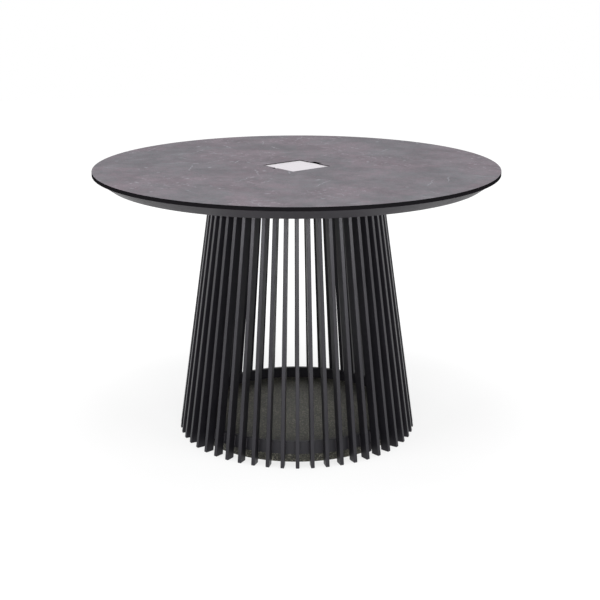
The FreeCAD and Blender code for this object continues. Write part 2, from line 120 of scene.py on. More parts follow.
class PieceSettings(bpy.types.PropertyGroup):
    """Sizes of the pieces that are modelled afresh"""

    rim_steps: count("Rim steps", 384, "Sides of the large round pieces")
    guide_steps: count("Guide steps", 96, "Sides of the pole guide's tube")
    washer_steps: count("Washer steps", 48, "Sides of the washers")
    small_steps: count("Small steps", 24, "Sides of the screws, holes and pads")
    board_arris: length("Board arris", 0.0008, "Rounding of the board's edges")
    notch_width: length("Notch width", 0.032, "Finger notch, along the cover's side")
    notch_depth: length("Notch depth", 0.013, "Finger notch, out from the hole")
    notch_corner: length("Notch corner", 0.0035, "Corner radius of the finger notch")
    slot_width: length("Slot width", 0.011, "Lever slot, along the cover's side")
    slot_depth: length("Slot depth", 0.011, "Lever slot, out from the hole")
    slot_corner: length("Slot corner", 0.0015, "Corner radius of the lever slot")
    slot_offset: length("Slot offset", -0.006, "Place of the lever slot along the cover's side")
    insert_depth: length("Insert holes", 0.008, "Depth of the holes for the threaded inserts")
    cover_gap: length("Cover gap", 0.0005, "Gap round the cover plate")
    cover_corner: length("Cover corner", 0.0008, "Corner radius of the cover plate")
    cover_arris: length("Cover arris", 0.0004, "Rounding of the cover plate's edges")
    sheet_edge: length("Sheet edge", 0.0006, "Rounding of the apron's edges")
    bar_edge: length("Bar edge", 0.0005, "Rounding of rings, plates and clips")
    tube_corner: length("Tube corner", 0.0018, "Rounding along the rectangular tubes")
    stone_arris: length("Stone arris", 0.0015, "Rounding of the ballast stone's edges")
    plate_corner: length("Plate corner", 0.008, "Corner radius of the sleeve plate")
    small_head: length("Small head", 0.004, "Height of the small screws' heads")
    small_shank: length("Small shank", 0.003, "Radius of the small screws")
    large_head: length("Large head", 0.0053, "Height of the large bolts' heads")
    large_shank: length("Large shank", 0.004, "Radius of the large bolts")
    seat_shank: length("Seat screw", 0.002, "Radius of the screws in the cover's seat")
    seat_head: length("Seat screw head", 0.0018, "Height of the heads in the cover's seat")
    hole_gap: length("Hole gap", 0.0003, "Room round a bolt in its hole")
    head_edge: length("Head edge", 0.0009, "Chamfer of the bolt heads' corners")
    groove_width: length("Groove width", 0.0025, "Butt joint of the base band")
    groove_depth: length("Groove depth", 0.0012, "Depth of the groove at the butt joint")
    groove_turn: angle("Groove place", 145.6, "Where the band's ends meet, from +X")
    slat_width: length("Slat width", 0.010, "Width of the slats, whose sides carry the weld seams")
    weld: length("Weld", 0.0018, "Half width of the weld seams")


class StudioSettings(bpy.types.PropertyGroup):
    """Camera, lamps and floor"""

    lens: FloatProperty(name="Lens", description="Focal length on a sensor 36 mm wide", default=73.02,
                        unit="CAMERA")
    distance: length("Distance", 3.277, "Level distance of the camera from the table's axis")
    height: length("Height", 1.3166, "Height of the camera over the floor")
    azimuth: angle("Azimuth", 50.7, "Turn of the camera about the table's axis, from the -Y side")
    yaw: angle("Yaw", 0.159, "How far the camera looks to the right of the axis")
    pitch: angle("Pitch", 16.201, "How far the camera looks down")
    roll: angle("Roll", -0.049, "Turn of the camera about its own line of sight")
    ambient: FloatProperty(name="Surroundings", description="Strength of the even white surroundings",
                           default=0.2, min=0.0)
    strip_power: FloatProperty(name="Strip lamps", description="Power of the low lamp in front",
                               default=110.0, min=0.0, unit="POWER")
    top_power: FloatProperty(name="Top lamp", description="Power of the large lamp over the table",
                             default=18.0, min=0.0, unit="POWER")
    floor_size: length("Floor size", 16.0, "Width of the round floor")
    floor_glow: FloatProperty(name="Floor glow", description="Brightness of the floor in a full shadow",
                              default=0.75, min=0.0, max=1.0)


def finish():
    return bpy.context.scene.umbrella_table_finish


def sizes():
    return bpy.context.scene.umbrella_table_pieces


def studio():
    return bpy.context.scene.umbrella_table_studio


def rgba(value, scale=1.0):
    return tuple(min(scale * part, 1.0) for part in value[:3]) + (1.0,)


# Shader nodes

def put(tree, socket, value):
    """Gives a node's input a value or another node's output."""
    if isinstance(value, bpy.types.NodeSocket):
        tree.links.new(value, socket)
    else:
        socket.default_value = value


def add(tree, kind, inputs=None, **settings):
    """A new node with its settings and inputs."""
    node = tree.nodes.new(kind)
    for name, value in settings.items():
        setattr(node, name, value)
    for name, value in (inputs or {}).items():
        put(tree, node.inputs[name], value)
    return node


def calc(tree, operation, *values):
    return add(tree, "ShaderNodeMath", dict(enumerate(values)), operation=operation).outputs[0]


def spread(tree, value, first, second=(0.0, 1.0)):
    """The value, spread smoothly from the first range to the second and held at its ends."""
    ranges = {"Value": value, "From Min": first[0], "From Max": first[1],
              "To Min": second[0], "To Max": second[1]}
    return add(tree, "ShaderNodeMapRange", ranges, interpolation_type="SMOOTHSTEP").outputs["Result"]


def blend(tree, factor, first, second):
    """Mix of two colours."""
    return add(tree, "ShaderNodeMix", {0: factor, 6: first, 7: second}, data_type="RGBA").outputs[2]


def between(tree, factor, first, second):
    """Mix of two numbers."""
    return add(tree, "ShaderNodeMix", {0: factor, 2: first, 3: second}, data_type="FLOAT").outputs[0]


def scaled(tree, vector, factor):
    return add(tree, "ShaderNodeVectorMath", {0: vector, "Scale": factor}, operation="SCALE").outputs[0]


def stretched(tree, vector, factors):
    return add(tree, "ShaderNodeVectorMath", {0: vector, 1: factors}, operation="MULTIPLY").outputs[0]


def noise(tree, vector, scale, detail=2.0, roughness=0.5, distortion=0.0):
    """Cloudy noise of about 0 to 1, with as many patches to the metre as its scale."""
    values = {"Vector": vector, "Scale": scale, "Detail": detail, "Roughness": roughness,
              "Distortion": distortion}
    return add(tree, "ShaderNodeTexNoise", values).outputs["Fac"]


def bump(tree, height, strength, distance):
    values = {"Height": height, "Strength": strength, "Distance": distance}
    return add(tree, "ShaderNodeBump", values).outputs["Normal"]


def height_of(tree, point):
    return add(tree, "ShaderNodeSeparateXYZ", {"Vector": point}).outputs["Z"]


def group(name, inputs, output, build):
    """A shader node group with named inputs and one value as its output."""
    tree = bpy.data.node_groups.new(name, "ShaderNodeTree")
    for socket, kind, default in inputs:
        made = tree.interface.new_socket(socket, in_out="INPUT", socket_type=kind)
        if default is not None:
            made.default_value = default
    tree.interface.new_socket(output, in_out="OUTPUT", socket_type=FLOAT)
    inside = tree.nodes.new("NodeGroupInput")
    outside = tree.nodes.new("NodeGroupOutput")
    tree.links.new(build(tree, inside.outputs), outside.inputs[output])


def use(tree, name, vector, **values):
    """One of the node groups, on the vector and with its own values."""
    node = tree.nodes.new("ShaderNodeGroup")
    node.node_tree = bpy.data.node_groups[name]
    tree.links.new(vector, node.inputs["Vector"])
    for socket, value in values.items():
        put(tree, node.inputs[socket], value)
    return node.outputs[0]


def build_strokes(tree, inputs):
    """Short thin strokes, one in some of the cells round scattered points, each turned its own way."""
    cells = add(tree, "ShaderNodeTexVoronoi", {"Vector": inputs["Vector"], "Scale": inputs["Scale"]},
                voronoi_dimensions="2D")
    offset = add(tree, "ShaderNodeVectorMath", {0: inputs["Vector"], 1: cells.outputs["Position"]},
                 operation="SUBTRACT").outputs[0]
    chance = add(tree, "ShaderNodeSeparateColor", {"Color": cells.outputs["Color"]})
    turn = calc(tree, "MULTIPLY", chance.outputs["Red"], 2.0 * math.pi)
    turned = add(tree, "ShaderNodeVectorRotate", {"Vector": offset, "Angle": turn}, rotation_type="Z_AXIS")
    place = add(tree, "ShaderNodeSeparateXYZ", {"Vector": turned.outputs[0]})
    wander = calc(tree, "MULTIPLY", calc(tree, "SUBTRACT", noise(tree, inputs["Vector"], scale=60.0), 0.5),
                  inputs["Wander"])
    across = calc(tree, "ABSOLUTE", calc(tree, "ADD", place.outputs["Y"], wander))
    along = calc(tree, "ABSOLUTE", place.outputs["X"])
    share = spread(tree, chance.outputs["Green"], (0.0, 1.0), (0.4, 1.0))
    reach = calc(tree, "MULTIPLY", inputs["Length"], share)
    in_length = spread(tree, calc(tree, "DIVIDE", along, reach), (0.5, 1.0), (1.0, 0.0))
    in_width = spread(tree, calc(tree, "DIVIDE", across, inputs["Width"]), (0.3, 1.0), (1.0, 0.0))
    chosen = calc(tree, "LESS_THAN", chance.outputs["Blue"], inputs["Share"])
    return calc(tree, "MULTIPLY", calc(tree, "MULTIPLY", in_length, in_width), chosen)


def build_patches(tree, inputs):
    """Soft cloudy unevenness."""
    clouds = noise(tree, inputs["Vector"], inputs["Scale"], detail=4.0, roughness=0.55, distortion=0.6)
    return spread(tree, clouds, (0.32, 0.68))


def build_peel(tree, inputs):
    """Fine orange peel of a powder coat or a moulded surface."""
    fine = noise(tree, inputs["Vector"], inputs["Scale"], detail=1.0)
    coarse = noise(tree, inputs["Vector"], calc(tree, "MULTIPLY", inputs["Scale"], 0.35), detail=1.0)
    return calc(tree, "ADD", fine, coarse)


def build_grains(tree, inputs):
    """A random value in each small crystal."""
    cells = add(tree, "ShaderNodeTexVoronoi", {"Vector": inputs["Vector"], "Scale": inputs["Scale"]})
    return add(tree, "ShaderNodeSeparateColor", {"Color": cells.outputs["Color"]}).outputs["Red"]


def make_groups():
    vector, scale = ("Vector", VECTOR, None), ("Scale", FLOAT, 10.0)
    group("Strokes", [vector, scale, ("Length", FLOAT, 0.02), ("Width", FLOAT, 0.0006),
                      ("Wander", FLOAT, 0.004), ("Share", FLOAT, 0.3)], "Mask", build_strokes)
    group("Patches", [vector, scale], "Value", build_patches)
    group("Peel", [vector, scale], "Height", build_peel)
    group("Grains", [vector, scale], "Value", build_grains)


# Finishes. Each gives the inputs of its shader that change over the surface.

def laminate(tree, point):
    """Stone decor on the upper face, a black core with fine layers at the edges, and a plain underside."""
    look = finish()
    clouds = use(tree, "Patches", point, Scale=6.0)
    mottle = use(tree, "Patches", point, Scale=55.0)
    # These decor colours carry a painted sheen, lifted in place of the board's reflection of its
    # surroundings.
    ground = blend(tree, between(tree, 0.45, clouds, mottle), rgba(look.decor_blue_and_sheen), rgba(look.decor_rose_and_sheen))
    value = noise(tree, point, scale=11.0, detail=6.0, roughness=0.65)
    grain = noise(tree, point, scale=320.0, detail=3.0, roughness=0.7)
    ground = scaled(tree, ground, calc(tree, "MULTIPLY", spread(tree, value, (0.28, 0.72), (0.84, 1.125)),
                                       spread(tree, grain, (0.25, 0.75), (0.87, 1.13))))
    regions = noise(tree, point, scale=6.0, detail=2.0)
    flecks = noise(tree, point, scale=55.0, detail=5.0, roughness=0.7)
    flecks = calc(tree, "MULTIPLY", spread(tree, flecks, (0.56, 0.66)), spread(tree, regions, (0.50, 0.60)))
    veins = use(tree, "Strokes", point, Scale=9.0, Length=0.06, Width=0.0022, Wander=0.02, Share=0.6)
    dots = use(tree, "Strokes", point, Scale=11.0, Length=0.012, Width=0.006, Wander=0.01, Share=0.2)
    marks = 0.0
    for mask, weight in ((flecks, 0.55), (veins, 0.40), (dots, 0.35)):
        marks = calc(tree, "MAXIMUM", marks, calc(tree, "MULTIPLY", mask, weight))
    decor = blend(tree, marks, ground, rgba(look.decor_fleck_and_sheen))
    layers = noise(tree, stretched(tree, point, (2.0, 2.0, 2600.0)), scale=1.0)
    core = blend(tree, spread(tree, layers, (0.35, 0.65), (0.0, 0.3)), rgba(look.core), rgba(look.core, 2.0))
    under = calc(tree, "LESS_THAN", height_of(tree, point), BOARD_LOW + SKIN)
    core = blend(tree, under, core, rgba(look.backing))
    upper = calc(tree, "GREATER_THAN", height_of(tree, point), BOARD_TOP - SKIN)
    decor_rough = spread(tree, noise(tree, point, scale=26.0, detail=3.0), (0.3, 0.7), (0.42, 0.54))
    relief = calc(tree, "SUBTRACT", noise(tree, point, scale=420.0, detail=3.0),
                  calc(tree, "MULTIPLY", marks, 0.6))
    return {"Base Color": blend(tree, upper, core, decor),
            "Roughness": between(tree, upper, 0.62, decor_rough),
            "Coat Weight": calc(tree, "MULTIPLY", upper, 0.15),
            "Normal": bump(tree, relief, strength=0.10, distance=0.2 * MM)}


def stainless(tree, point):
    """Fine brush lines along X with a faint uneven sheen; dark edges of cut oxide and painted gap shade."""
    lines = noise(tree, stretched(tree, point, (14.0, 1500.0, 1500.0)), scale=1.0, detail=3.0, roughness=0.7)
    patches = use(tree, "Patches", point, Scale=28.0)
    steel = finish().steel
    tint = blend(tree, spread(tree, lines, (0.3, 0.7)), rgba(steel, 0.9), rgba(steel))
    rough = calc(tree, "ADD", spread(tree, lines, (0.25, 0.75), (0.24, 0.36)),
                 calc(tree, "MULTIPLY", patches, 0.06))
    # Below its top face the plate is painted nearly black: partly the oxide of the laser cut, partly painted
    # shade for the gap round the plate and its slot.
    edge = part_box("cover_plate")[1].z - 5 * SKIN
    upper = calc(tree, "GREATER_THAN", height_of(tree, point), edge)
    return {"Base Color": blend(tree, upper, rgba(steel, 0.12), tint),
            "Roughness": between(tree, upper, 0.65, rough),
            "Normal": bump(tree, lines, strength=0.10, distance=0.05 * MM)}


def powder_coat(tree, point, coat, peel_scale):
    """Matt powder coat: fine peel, tiny pale specks and a slightly uneven gloss."""
    peel = use(tree, "Peel", point, Scale=peel_scale)
    patches = use(tree, "Patches", point, Scale=7.0)
    specks = spread(tree, noise(tree, point, scale=2600.0, detail=1.0), (0.66, 0.78), (0.0, 0.35))
    ground = blend(tree, patches, rgba(coat, 0.93), rgba(coat))
    gloss = calc(tree, "ADD", patches, noise(tree, point, scale=60.0))
    return {"Base Color": blend(tree, specks, ground, rgba(coat, 1.7)),
            "Roughness": spread(tree, gloss, (0.5, 1.5), (0.36, 0.43)),
            "Normal": bump(tree, peel, strength=0.14, distance=0.1 * MM)}


def coated_bar(tree, point):
    return powder_coat(tree, point, finish().coat, peel_scale=700.0)


def coated_frame(tree, point):
    return powder_coat(tree, point, finish().frame_coat, peel_scale=620.0)


def granite(tree, point):
    """Dark granite of small olive, grey and pale crystals, ground but not polished."""
    look = finish()
    bends = add(tree, "ShaderNodeTexNoise", {"Vector": point, "Scale": 300.0}).outputs["Color"]
    warped = add(tree, "ShaderNodeVectorMath", {0: point, 1: scaled(tree, bends, 2 * MM)},
                 operation="ADD").outputs[0]
    small = use(tree, "Grains", warped, Scale=480.0)
    large = use(tree, "Grains", warped, Scale=340.0)
    base = blend(tree, spread(tree, small, (0.40, 0.60)), rgba(look.stone_dark), rgba(look.stone_mid))
    pale = calc(tree, "MULTIPLY", calc(tree, "GREATER_THAN", large, 0.74),
                spread(tree, small, (0.2, 0.9), (0.2, 1.0)))
    base = blend(tree, pale, base, rgba(look.stone_pale))
    value = noise(tree, point, scale=12.0, detail=3.0)
    base = scaled(tree, base, spread(tree, value, (0.3, 0.7), (0.8, 1.2)))
    relief = calc(tree, "ADD", small, noise(tree, point, scale=150.0, detail=4.0))
    return {"Base Color": base, "Roughness": spread(tree, small, (0.0, 1.0), (0.42, 0.66)),
            "Normal": bump(tree, relief, strength=0.25, distance=0.2 * MM)}


def plated(tree, point, metal):
    """Thin plating: small crystals of slightly different brightness."""
    spangle = use(tree, "Grains", point, Scale=900.0)
    patches = use(tree, "Patches", point, Scale=160.0)
    return {"Base Color": blend(tree, spangle, rgba(metal, 0.8), rgba(metal)),
            "Roughness": spread(tree, patches, (0.0, 1.0), (0.30, 0.46)),
            "Normal": bump(tree, noise(tree, point, scale=1400.0), strength=0.08, distance=0.05 * MM)}


def zinc_steel(tree, point):
    return plated(tree, point, finish().zinc)


def brass(tree, point):
    return plated(tree, point, finish().brass)


def moulded(tree, point, smooth, rough):
    """Moulded plastic or rubber with a fine spark-eroded grain."""
    plastic = finish().plastic
    patches = use(tree, "Patches", point, Scale=60.0)
    return {"Base Color": blend(tree, patches, rgba(plastic), rgba(plastic, 1.35)),
            "Roughness": spread(tree, patches, (0.0, 1.0), (smooth, rough)),
            "Normal": bump(tree, use(tree, "Peel", point, Scale=1200.0), strength=0.2, distance=0.1 * MM)}


def black_plastic(tree, point):
    return moulded(tree, point, smooth=0.48, rough=0.60)


def rubber(tree, point):
    return moulded(tree, point, smooth=0.70, rough=0.85)


FINISHES = {
    # The laminate has no specular here; its sheen is painted into the decor colours instead.
    laminate: {"Specular IOR Level": 0.0, "Coat Roughness": 0.5},
    stainless: {"Metallic": 1.0},
    coated_bar: {"Specular IOR Level": 0.26, "Specular Tint": (0.96, 0.95, 1.0, 1.0)},
    coated_frame: {"Specular IOR Level": 0.04},
    zinc_steel: {"Metallic": 1.0},
    brass: {"Metallic": 1.0},
    granite: {"Specular IOR Level": 0.3},
    rubber: {"Specular IOR Level": 0.3},
    black_plastic: {"Specular IOR Level": 0.4},
}


def make_finish(build, even):
    """A material named for its slot: even values on the shader, changing ones from its nodes."""
    made = bpy.data.materials.new(build.__name__ + "_finish")
    made.use_nodes = True
    tree = made.node_tree
    shader = tree.nodes["Principled BSDF"]
    for socket, value in even.items():
        shader.inputs[socket].default_value = value
    point = add(tree, "ShaderNodeTexCoord").outputs["Object"]
    for socket, source in build(tree, point).items():
        tree.links.new(source, shader.inputs[socket])


def dress(thing, slot):
    thing.data.materials.clear()
    thing.data.materials.append(bpy.data.materials[slot + "_finish"])


# Mesh making

def slot_of(node):
    return next(part["material_slot"] for part in frame["record"]["subparts"] if part["node"] == node)


def all_of(bm):
    return bm.verts[:] + bm.edges[:] + bm.faces[:]


def vertices_in(items):
    return [item for item in items if isinstance(item, bmesh.types.BMVert)]


def edges_in(items):
    return [item for item in items if isinstance(item, bmesh.types.BMEdge)]


def at_height(edge, z):
    return all(abs(vert.co.z - z) < MERGE for vert in edge.verts)


def is_rim(edge):
    """True where two faces meet at well over half a right angle."""
    if len(edge.link_faces) != 2:
        return False
    first, second = edge.link_faces
    return abs(first.normal.dot(second.normal)) < RIM_COSINE


def round_edges(bm, edges, width, segments=3):
    bmesh.ops.bevel(bm, geom=edges, offset=width, offset_type="OFFSET", segments=segments, profile=0.5,
                    affect="EDGES", material=-1)


def round_corners(bm, verts, width, segments):
    bmesh.ops.bevel(bm, geom=verts, offset=width, offset_type="OFFSET", segments=segments, profile=0.5,
                    affect="VERTICES", material=-1)


def round_rims(bm, heights, width, segments=3):
    """Rounds the rims at each of the heights."""
    for z in heights:
        bm.normal_update()
        round_edges(bm, [edge for edge in bm.edges if at_height(edge, z) and is_rim(edge)], width, segments)


def shift(bm, made, way):
    """Moves the points that an operator has just made."""
    bmesh.ops.translate(bm, verts=vertices_in(made["geom"]), vec=way)


def spin_profile(bm, points, steps):
    """Full turn about Z of a closed outline of (radius, height) points."""
    verts = [bm.verts.new((radius, 0.0, z)) for radius, z in points]
    edges = [bm.edges.new((verts[k - 1], verts[k])) for k in range(len(verts))]
    bmesh.ops.spin(bm, geom=verts + edges, cent=(0, 0, 0), axis=(0, 0, 1), dvec=(0, 0, 0), angle=2 * math.pi,
                   steps=steps, use_merge=True, use_normal_flip=False, use_duplicate=False)
    bmesh.ops.remove_doubles(bm, verts=bm.verts, dist=MERGE)


def ring_outline(bm, radius, z, steps, x=0.0, y=0.0):
    """A level circle, and its edges."""
    ring = bmesh.ops.create_circle(bm, cap_ends=False, segments=steps, radius=radius,
                                   matrix=Matrix.Translation((x, y, z)))
    return list({edge for vert in ring["verts"] for edge in vert.link_edges})


def square_outline(bm, half_x, half_y, z, filled=True):
    """A level rectangle about the table's axis."""
    shape = Matrix.Translation((0, 0, z)) @ Matrix.Diagonal((half_x, half_y, 1, 1))
    bmesh.ops.create_circle(bm, cap_ends=filled, segments=4, radius=math.sqrt(2),
                            matrix=shape @ Matrix.Rotation(math.radians(45), 4, "Z"))


def fill_outlines(bm, high, low):
    """Fills the flat outlines at the upper height and gives the face a thickness."""
    bmesh.ops.triangle_fill(bm, edges=bm.edges[:], use_beauty=True, normal=(0, 0, 1))
    extrude_face_down(bm, high - low)


def extrude_face_down(bm, depth):
    """Gives the flat faces of the mesh a thickness below them."""
    shift(bm, bmesh.ops.extrude_face_region(bm, geom=bm.faces[:], use_keep_orig=True), (0, 0, -depth))


def repeat_at(bm, places):
    """Sets what the mesh holds at the first place, and copies of it at the others."""
    first = all_of(bm)
    for place in places[1:]:
        shift(bm, bmesh.ops.duplicate(bm, geom=first), place)
    bmesh.ops.translate(bm, verts=vertices_in(first), vec=places[0])


def repeat_round(bm, verts, angles):
    """Turns some of the mesh about Z to the first angle, and copies of it to the others."""
    first = list(verts) + list({edge for vert in verts for edge in vert.link_edges})
    first += list({face for vert in verts for face in vert.link_faces})
    copies = [vertices_in(bmesh.ops.duplicate(bm, geom=first)["geom"]) for _ in angles[1:]]
    for points, turn in zip([verts] + copies, angles):
        bmesh.ops.rotate(bm, verts=points, cent=(0, 0, 0), matrix=Matrix.Rotation(turn, 3, "Z"))


def merged_copy(node):
    """A mesh of its own from a node of the model, with its points merged."""
    bm = bmesh.new()
    bm.from_mesh(frame["nodes"][node].data)
    bmesh.ops.remove_doubles(bm, verts=bm.verts, dist=MERGE)
    return bm


def solid_boxes(node):
    """Lowest and highest corner of each separate solid of a node."""
    bm = merged_copy(node)
    waiting = set(bm.verts)
    boxes = []
    while waiting:
        stack, points = [waiting.pop()], []
        while stack:
            vert = stack.pop()
            points.append(vert.co.copy())
            near = {edge.other_vert(vert) for edge in vert.link_edges} & waiting
            waiting -= near
            stack.extend(near)
        boxes.append(tuple(Vector([pick(p[k] for p in points) for k in range(3)]) for pick in (min, max)))
    bm.free()
    return sorted(boxes, key=lambda box: tuple(round(part, 5) for part in box[0]))


def axes_of(node):
    """The axes of a node's upright solids, as points at floor level."""
    return [Vector(((low.x + high.x) / 2, (low.y + high.y) / 2, 0.0)) for low, high in solid_boxes(node)]


def angles_of(node):
    """Angles about the table's axis of a node's solids."""
    return [math.atan2(place.y, place.x) for place in axes_of(node)]


def radii_of(node, above=0.0):
    """Distances from the table's axis of a node's points above a height."""
    return [math.hypot(vert.co.x, vert.co.y) for vert in frame["nodes"][node].data.vertices
            if vert.co.z > above]


def new_object(name, data):
    made = bpy.data.objects.new(name, data)
    bpy.context.scene.collection.objects.link(made)
    return made


def new_piece(name, bm, body, slot, *nodes):
    """An object made from the mesh, in a material slot, that takes the place of the nodes named."""
    bmesh.ops.recalc_face_normals(bm, faces=bm.faces)
    mesh = bpy.data.meshes.new(name)
    bm.to_mesh(mesh)
    bm.free()
    mesh.shade_smooth()
    mesh.set_sharp_from_angle(angle=SHARP_ANGLE)
    piece = new_object(name, mesh)
    normals = piece.modifiers.new("Flat faces stay flat", "WEIGHTED_NORMAL")
    normals.keep_sharp = True
    normals.weight = 100
    dress(piece, slot)
    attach(piece, body)
    if nodes:
        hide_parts(*nodes)


# The pieces

def notch_in(bm, half, side, centre, width, depth, corner):
    """Adds a notch with round far corners to the square outline, at +Y (side 1) or -Y (side -1)."""
    for x in (centre - width / 2, centre + width / 2):
        bmesh.ops.bisect_plane(bm, geom=all_of(bm), dist=MERGE, plane_co=(x, 0, 0), plane_no=(1, 0, 0))
    near = [edge for edge in bm.edges
            if all(abs(v.co.y - side * half) < MERGE and abs(v.co.x - centre) < width / 2 + MERGE
                   for v in edge.verts)]
    made = bmesh.ops.extrude_edge_only(bm, edges=near)
    shift(bm, made, (0, side * depth, 0))
    round_corners(bm, [vert for vert in vertices_in(made["geom"])
                       if abs(abs(vert.co.x - centre) - width / 2) < MERGE], corner, segments=6)


def hole_outline(bm):
    """Flat outline of the square hole with its finger notch and lever slot, at the board's top."""
    size = sizes()
    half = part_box("cover_plate")[1].x + size.cover_gap
    square_outline(bm, half, half, BOARD_TOP)
    notch_in(bm, half, 1, 0.0, size.notch_width, size.notch_depth, size.notch_corner)
    notch_in(bm, half, -1, size.slot_offset, size.slot_width, size.slot_depth, size.slot_corner)
    inner = [edge for edge in bm.edges if len(edge.link_faces) == 2]
    bmesh.ops.dissolve_edges(bm, edges=inner, use_verts=False)
    bmesh.ops.delete(bm, geom=bm.faces[:], context="FACES_ONLY")


def sink_holes(bm, z, places, radius, depth):
    """Blind holes up into the board's underside, whose face is open so far."""
    for place in places:
        edges = ring_outline(bm, radius, z, sizes().small_steps, place.x, place.y)
        made = bmesh.ops.extrude_edge_only(bm, edges=edges)
        shift(bm, made, (0, 0, depth))
        bmesh.ops.edgeloop_fill(bm, edges=edges_in(made["geom"]))


def make_board():
    size = sizes()
    bm = bmesh.new()
    hole_outline(bm)
    ring_outline(bm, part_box("table_board")[1].x, BOARD_TOP, size.rim_steps)
    fill_outlines(bm, BOARD_TOP, BOARD_LOW)
    under = [face for face in bm.faces if all(abs(vert.co.z - BOARD_LOW) < MERGE for vert in face.verts)]
    bmesh.ops.delete(bm, geom=under, context="FACES")
    low, high = solid_boxes("board_inserts")[0]
    sink_holes(bm, BOARD_LOW, axes_of("board_inserts"), (high.y - low.y) / 2, size.insert_depth)
    open_edges = [edge for edge in bm.edges if at_height(edge, BOARD_LOW) and len(edge.link_faces) == 1]
    bmesh.ops.triangle_fill(bm, edges=open_edges, use_beauty=True, normal=(0, 0, -1))
    round_rims(bm, [BOARD_TOP], size.board_arris)
    new_piece("board", bm, TABLE, "laminate", "table_board")


def make_cover():
    size = sizes()
    low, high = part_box("cover_plate")
    bm = bmesh.new()
    square_outline(bm, high.x, high.x, high.z)
    round_corners(bm, bm.verts[:], size.cover_corner, segments=4)
    extrude_face_down(bm, high.z - low.z)
    round_rims(bm, [high.z], size.cover_arris)
    round_rims(bm, [low.z], size.cover_arris / 2)
    new_piece("cover", bm, COVER, "stainless", "cover_plate")


def section_of(node):
    """Corners of a round node's section, as (radius, height) points in order round the section."""
    verts = [vert.co for vert in frame["nodes"][node].data.vertices]
    points = {(round(math.hypot(co.x, co.y), 4), round(co.z, 5)) for co in verts}
    low, high = min(z for _, z in points), max(z for _, z in points)
    ends = [[radius for radius, z in points if z == level] for level in (low, high)]
    return [(max(ends[0]), low), (max(ends[1]), high), (min(ends[1]), high), (min(ends[0]), low)]


def make_apron():
    """The cone of sheet metal, with fine rounded rims."""
    bm = bmesh.new()
    section = section_of("apron_ring")
    spin_profile(bm, section, sizes().rim_steps)
    round_rims(bm, [section[0][1]], sizes().sheet_edge)
    new_piece("apron", bm, TABLE, "coated_frame", "apron_ring")


def make_band():
    """The rolled band at the foot of the slats, with the groove where its ends meet."""
    size = sizes()
    section = section_of("base_ring")
    (foot, low), (head, high), _, (inner, _) = section
    bm = bmesh.new()
    spin_profile(bm, section, size.rim_steps)
    round_rims(bm, (low, high), size.bar_edge, 2)
    outward = Matrix.Rotation(size.groove_turn, 3, "Z") @ Vector((1, 0, 0))
    across = Vector((0, 0, 1)).cross(outward)
    half, reach = size.groove_width / 2, 20 * MM
    for offset in (-half - SKIN, -half, half, half + SKIN):
        near = [vert for vert in bm.verts if vert.co.dot(outward) > 0 and abs(vert.co.dot(across)) < reach]
        edges = {edge for vert in near for edge in vert.link_edges}
        faces = {face for vert in near for face in vert.link_faces}
        bmesh.ops.bisect_plane(bm, geom=near + list(edges) + list(faces), dist=MERGE / 10,
                               plane_co=across * offset, plane_no=across)
    lean = (head - foot) / (high - low)
    inside = [vert for vert in bm.verts
              if abs(vert.co.dot(across)) < half + MERGE and vert.co.dot(outward) > 0
              and vert.co.dot(outward) - lean * (vert.co.z - low) < (foot + inner) / 2]
    bmesh.ops.translate(bm, verts=inside, vec=outward * size.groove_depth)
    new_piece("band", bm, TABLE, "coated_bar", "base_ring")


def make_slab():
    """The round ballast stone with ground arrises."""
    size = sizes()
    low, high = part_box("ballast_stone")
    bm = bmesh.new()
    ring_outline(bm, high.x, high.z, size.rim_steps)
    fill_outlines(bm, high.z, low.z)
    round_rims(bm, [high.z], size.stone_arris)
    round_rims(bm, [low.z], size.stone_arris / 3)
    new_piece("slab", bm, TABLE, "granite", "ballast_stone")


def make_crown():
    """The flat ring on top of the slats, with its bolt holes."""
    size = sizes()
    low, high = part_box("cage_top_ring")
    bm = bmesh.new()
    ring_outline(bm, high.x, high.z, size.rim_steps)
    ring_outline(bm, min(radii_of("cage_top_ring")), high.z, size.rim_steps)
    for place in axes_of("cage_bolts"):
        ring_outline(bm, size.large_shank + size.hole_gap, high.z, size.small_steps, place.x, place.y)
    fill_outlines(bm, high.z, low.z)
    round_rims(bm, (low.z, high.z), size.bar_edge, 2)
    new_piece("crown_ring", bm, TABLE, "coated_frame", "cage_top_ring")


def make_rounded(name, node, width, shortest, segments=2):
    """A copy of a node with its longer sharp edges rounded."""
    bm = merged_copy(node)
    bmesh.ops.dissolve_limit(bm, angle_limit=FLAT_ANGLE, verts=bm.verts, edges=bm.edges)
    bm.normal_update()
    edges = [edge for edge in bm.edges if is_rim(edge) and edge.calc_length() > shortest]
    round_edges(bm, edges, width, segments)
    new_piece(name, bm, TABLE, slot_of(node), node)


def make_frame():
    """The rectangular tubes under the board, with rolled corners, and the plugs in their ends."""
    size = sizes()
    for number in range(1, 5):
        make_rounded("arm_tube_%d" % number, "arm_%d" % number, size.tube_corner, 50 * MM, 3)
    make_rounded("hub_frame", "hub_tubes", size.tube_corner, 100 * MM, 3)
    make_rounded("tube_plugs", "arm_end_caps", size.bar_edge, 15 * MM)


